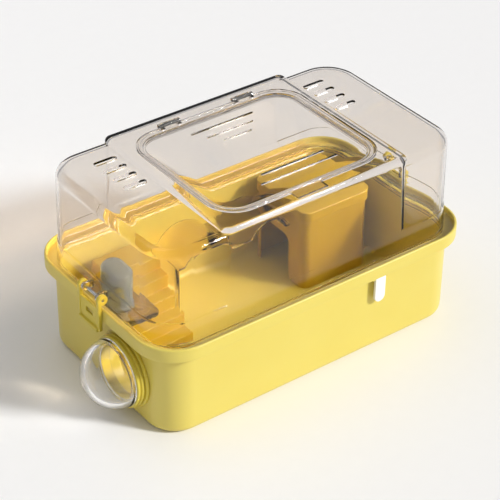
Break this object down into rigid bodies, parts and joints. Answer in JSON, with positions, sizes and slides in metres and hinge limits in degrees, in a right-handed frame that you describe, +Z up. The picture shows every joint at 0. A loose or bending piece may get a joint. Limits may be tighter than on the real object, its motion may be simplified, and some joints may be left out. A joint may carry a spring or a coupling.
{
  "type": "small animal carrier cage",
  "caption": "Portable small animal carrier: open tub, clear domed lift-off cover, hinged top hatch, tube port with clear dome, drinking bottle, staircase, vaulted bridge and hide house.",
  "frame": {"origin": "middle of the tub's flat underside", "axes": "+X to the right end, away from the tube port; -Y the front with the catch; +Z up"},
  "size_m": [0.3335, 0.184, 0.1694],
  "materials": {
    "tub": "satin injection-moulded polypropylene, opaque yellow",
    "collar": "satin injection-moulded polypropylene, opaque yellow",
    "dome": "clear polished polystyrene",
    "cover": "smoke-clear moulded polystyrene",
    "hatch": "smoke-clear moulded polystyrene",
    "hatch_pin": "dark moulded nylon",
    "clip": "satin injection-moulded polypropylene, opaque yellow",
    "steel": "drawn steel wire",
    "catch": "glossy white acetal",
    "bracket": "smoke-clear moulded polystyrene",
    "bottle": "translucent blow-moulded polyethylene",
    "cap": "moulded polypropylene, pale grey",
    "seal": "soft moulded rubber",
    "spout": "polished stainless steel",
    "steps": "injection-moulded polypropylene, yellow",
    "house": "injection-moulded polypropylene, yellow",
    "bridge": "clear moulded polystyrene"
  },
  "bodies": {
    "tub": {"tub": "tub", "port_collar": "collar", "port_ring": "collar", "catch_pin": "steel", "bottle_bracket": "bracket"},
    "cover": {"cover": "cover", "hatch_pin_left": "hatch_pin", "hatch_pin_right": "hatch_pin", "clip_pin_left": "steel", "clip_pin_right": "steel"},
    "hatch": {"hatch": "hatch"},
    "clip_left": {"clip_left": "clip"},
    "clip_right": {"clip_right": "clip"},
    "catch": {"catch": "catch"},
    "port_dome": {"port_dome": "dome"},
    "bottle": {"bottle_body": "bottle", "bottle_cap": "cap", "cap_seal": "seal", "spout_tube": "spout"},
    "spout_ball": {"spout_ball": "spout"},
    "steps": {"steps": "steps"},
    "house": {"house": "house"},
    "bridge": {"bridge": "bridge"}
  },
  "joints": [
    {"name": "cover_lift", "type": "slide", "parent": "tub", "child": "cover", "axis": [0, 0, 1], "range_m": [0, 0.12]},
    {"name": "hatch_hinge", "type": "hinge", "parent": "cover", "child": "hatch", "pos_m": [0, 0.0635, 0.167], "axis": [-1, 0, 0], "range_deg": [0, 105]},
    {"name": "clip_left_hinge", "type": "hinge", "parent": "cover", "child": "clip_left", "pos_m": [-0.1493, 0, 0.093], "axis": [0, 1, 0], "range_deg": [0, 100]},
    {"name": "clip_right_hinge", "type": "hinge", "parent": "cover", "child": "clip_right", "pos_m": [0.1493, 0, 0.093], "axis": [0, -1, 0], "range_deg": [0, 100]},
    {"name": "catch_hinge", "type": "hinge", "parent": "tub", "child": "catch", "pos_m": [0.0565, -0.0871, 0.0712], "axis": [-1, 0, 0], "range_deg": [0, 25]},
    {"name": "dome_pull", "type": "slide", "parent": "tub", "child": "port_dome", "axis": [-1, 0, 0], "range_m": [0, 0.03]},
    {"name": "bottle_lift", "type": "slide", "parent": "tub", "child": "bottle", "axis": [0, 0, 1], "range_m": [0, 0.04]},
    {"name": "ball_press", "type": "slide", "parent": "bottle", "child": "spout_ball", "axis": [0, 0, 1], "range_m": [0, 0.002]},
    {"name": "steps_lift", "type": "slide", "parent": "tub", "child": "steps", "axis": [0, 0, 1], "range_m": [0, 0.085]},
    {"name": "house_lift", "type": "slide", "parent": "tub", "child": "house", "axis": [0, 0, 1], "range_m": [0, 0.07]},
    {"name": "bridge_lift", "type": "slide", "parent": "house", "child": "bridge", "axis": [0, 0, 1], "range_m": [0, 0.07]}
  ]
}
